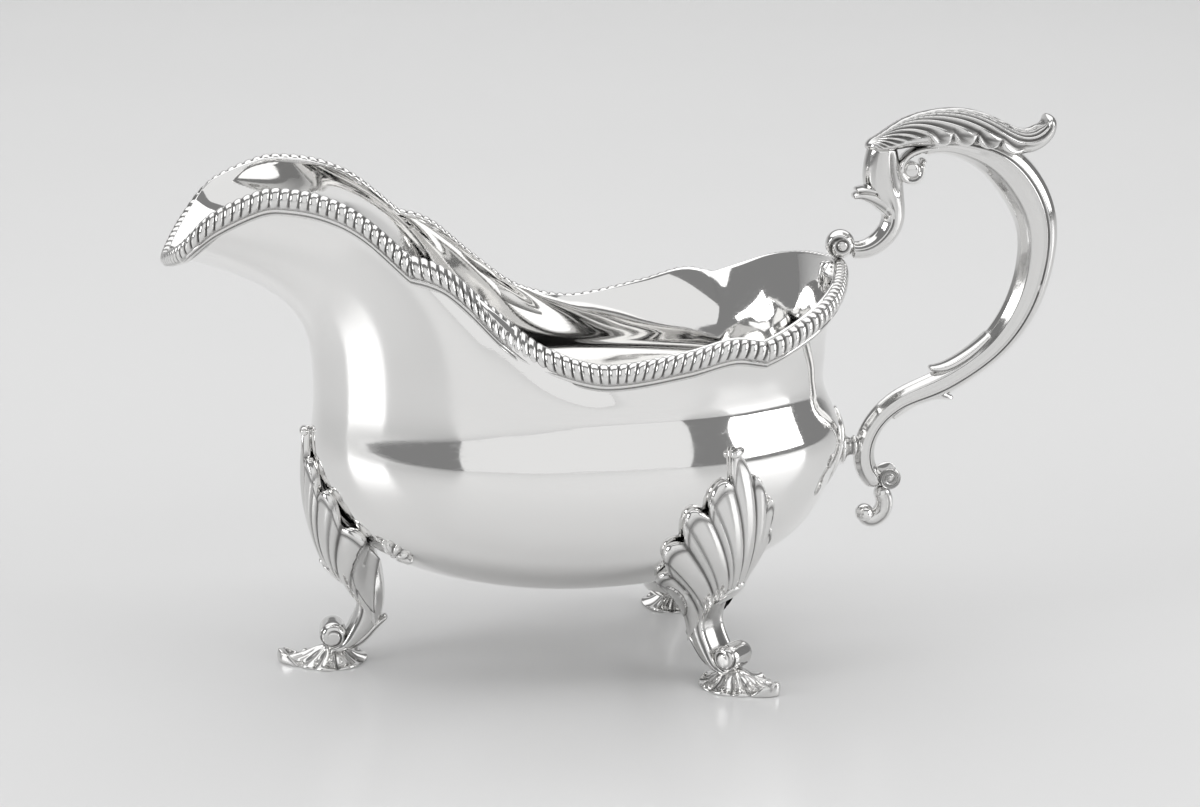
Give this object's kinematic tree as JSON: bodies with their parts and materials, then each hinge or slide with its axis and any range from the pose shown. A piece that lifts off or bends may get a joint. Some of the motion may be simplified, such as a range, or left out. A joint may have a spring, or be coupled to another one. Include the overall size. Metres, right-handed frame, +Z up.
{
  "type": "sauce boat",
  "caption": "Silver sauce boat with a bellied oval body, high broad spout, gadrooned rim, flying scroll handle with leaf thumb rest, and shell-and-scroll legs.",
  "frame": {"origin": "on the table under the middle of the overall box", "axes": "+X from the spout to the handle, +Y to the boat's left looking from the spout to the handle, +Z up"},
  "size_m": [0.2296, 0.0842, 0.142],
  "materials": {
    "polished_silver_body": "polished raised silver, faint hand polishing marks",
    "cast_silver_border": "polished cast silver, dark in the grooves",
    "cast_silver_handle": "polished cast silver, darker in the hollows",
    "cast_silver_legs": "polished cast silver, dark in the flutes"
  },
  "bodies": {
    "root": {"body": "polished_silver_body", "rim_border_spout_left": "cast_silver_border", "rim_border_spout_right": "cast_silver_border", "rim_border_side_left": "cast_silver_border", "rim_border_side_right": "cast_silver_border", "rim_border_back_left": "cast_silver_border", "rim_border_back_right": "cast_silver_border", "rim_wire_left": "cast_silver_border", "rim_wire_right": "cast_silver_border", "handle_main_scroll": "cast_silver_handle", "handle_neck_scroll": "cast_silver_handle", "handle_neck_spur": "cast_silver_handle", "handle_leaf": "cast_silver_handle", "handle_rim_ball": "cast_silver_handle", "handle_inner_curl": "cast_silver_handle", "handle_lower_volute": "cast_silver_handle", "handle_tail_curl": "cast_silver_handle", "handle_spur": "cast_silver_handle", "handle_strut": "cast_silver_handle", "handle_body_plate": "cast_silver_handle", "handle_root_leaf": "cast_silver_handle", "front_leg_scroll": "cast_silver_legs", "front_leg_shell": "cast_silver_legs", "front_leg_volute": "cast_silver_legs", "front_foot": "cast_silver_legs", "rear_left_leg_scroll": "cast_silver_legs", "rear_left_leg_shell": "cast_silver_legs", "rear_left_leg_volute": "cast_silver_legs", "rear_left_foot": "cast_silver_legs", "rear_right_leg_scroll": "cast_silver_legs", "rear_right_leg_shell": "cast_silver_legs", "rear_right_leg_volute": "cast_silver_legs", "rear_right_foot": "cast_silver_legs", "front_palmette_left": "cast_silver_legs", "front_palmette_right": "cast_silver_legs"}
  },
  "joints": []
}
